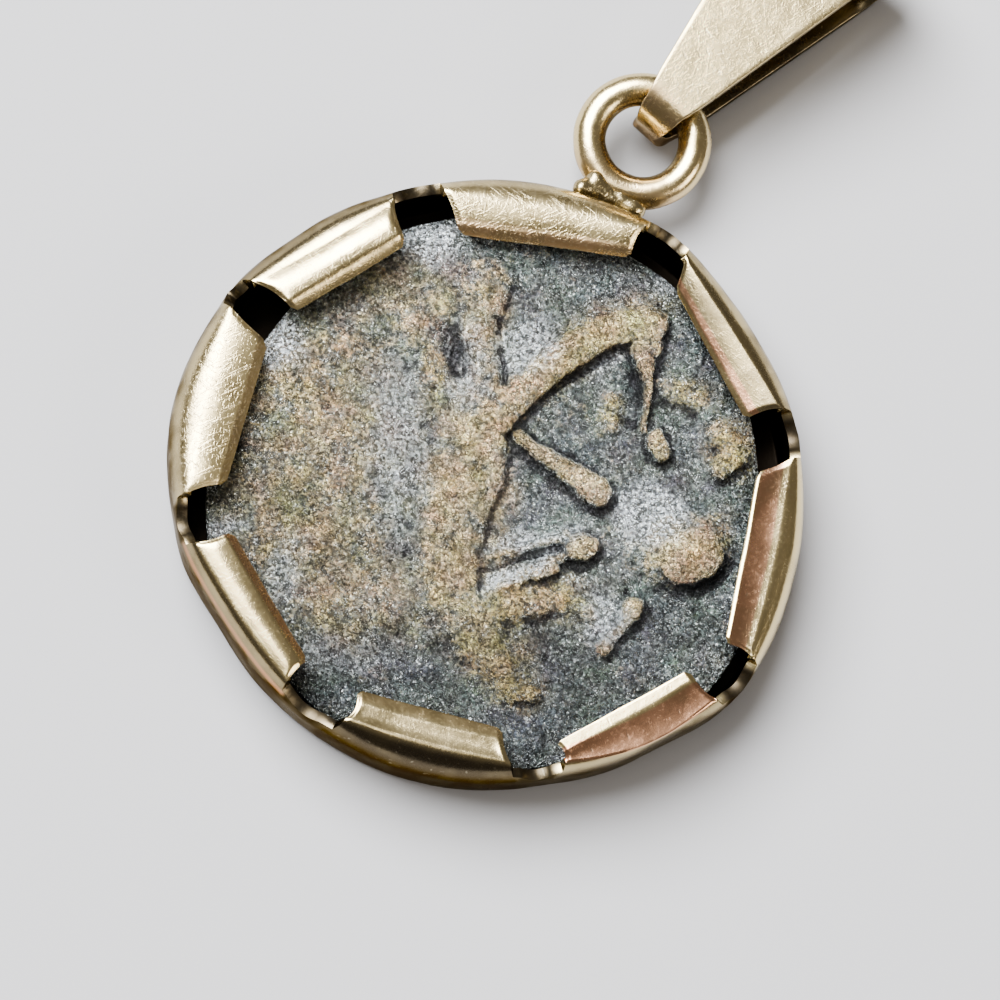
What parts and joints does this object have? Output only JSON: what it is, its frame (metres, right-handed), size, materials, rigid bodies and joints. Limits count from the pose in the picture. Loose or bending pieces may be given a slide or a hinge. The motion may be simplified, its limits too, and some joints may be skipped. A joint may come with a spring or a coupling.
{
  "type": "coin pendant",
  "caption": "Worn round bronze coin held in a gold bezel by folded tabs, with a soldered jump ring and a loose tapered bail for a chain, lying flat on its back.",
  "frame": {"origin": "middle of the gold band on the plane that the pendant's back rests on", "axes": "+Z out of the coin's face, +Y from the band's middle through the jump ring, +X to the right seen from the face"},
  "size_m": [0.0182, 0.0293, 0.0036],
  "materials": {
    "gold": "hand-worked pale gold, scratched and worn",
    "bronze": "dark uneven patina with sandy worn high spots"
  },
  "bodies": {
    "root": {"bezel": "gold", "coin": "bronze", "bail": "gold"}
  },
  "joints": []
}
